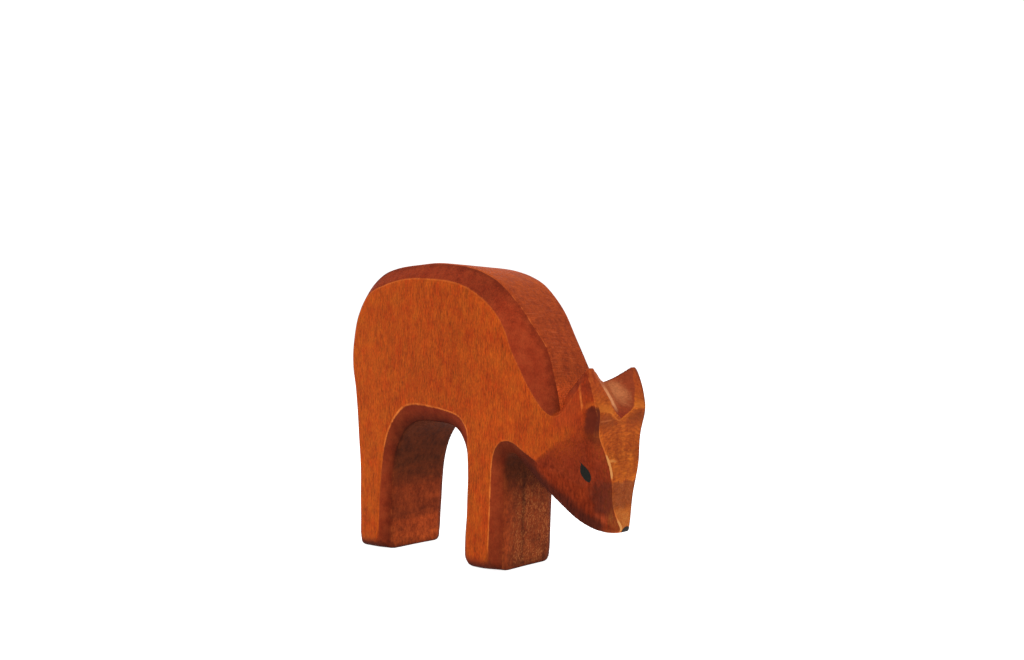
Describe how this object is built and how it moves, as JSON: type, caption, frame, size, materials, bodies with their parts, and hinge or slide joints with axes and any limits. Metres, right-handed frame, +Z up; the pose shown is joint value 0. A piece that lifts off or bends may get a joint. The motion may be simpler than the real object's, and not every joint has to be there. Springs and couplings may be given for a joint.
{
  "type": "wooden deer figurine",
  "caption": "Grazing deer figurine carved from a thick wooden board, with full-width leg blocks, an arched back, a lowered head, notched ears, and painted eyes and nose.",
  "frame": {"origin": "middle of the bounding box at the level of the soles", "axes": "+X from rump to head, +Y across the thickness of the board towards the animal's left flank, +Z up from the soles to the back"},
  "size_m": [0.0951, 0.0256, 0.0842],
  "materials": {
    "body": "orange-brown stain under a satin oil or wax finish, darker on the sawn and carved end grain",
    "eye": "black paint, satin",
    "nose": "thin black paint, satin"
  },
  "bodies": {
    "root": {"body": "body", "eye_right": "eye", "eye_left": "eye", "nose_tip": "nose"}
  },
  "joints": []
}
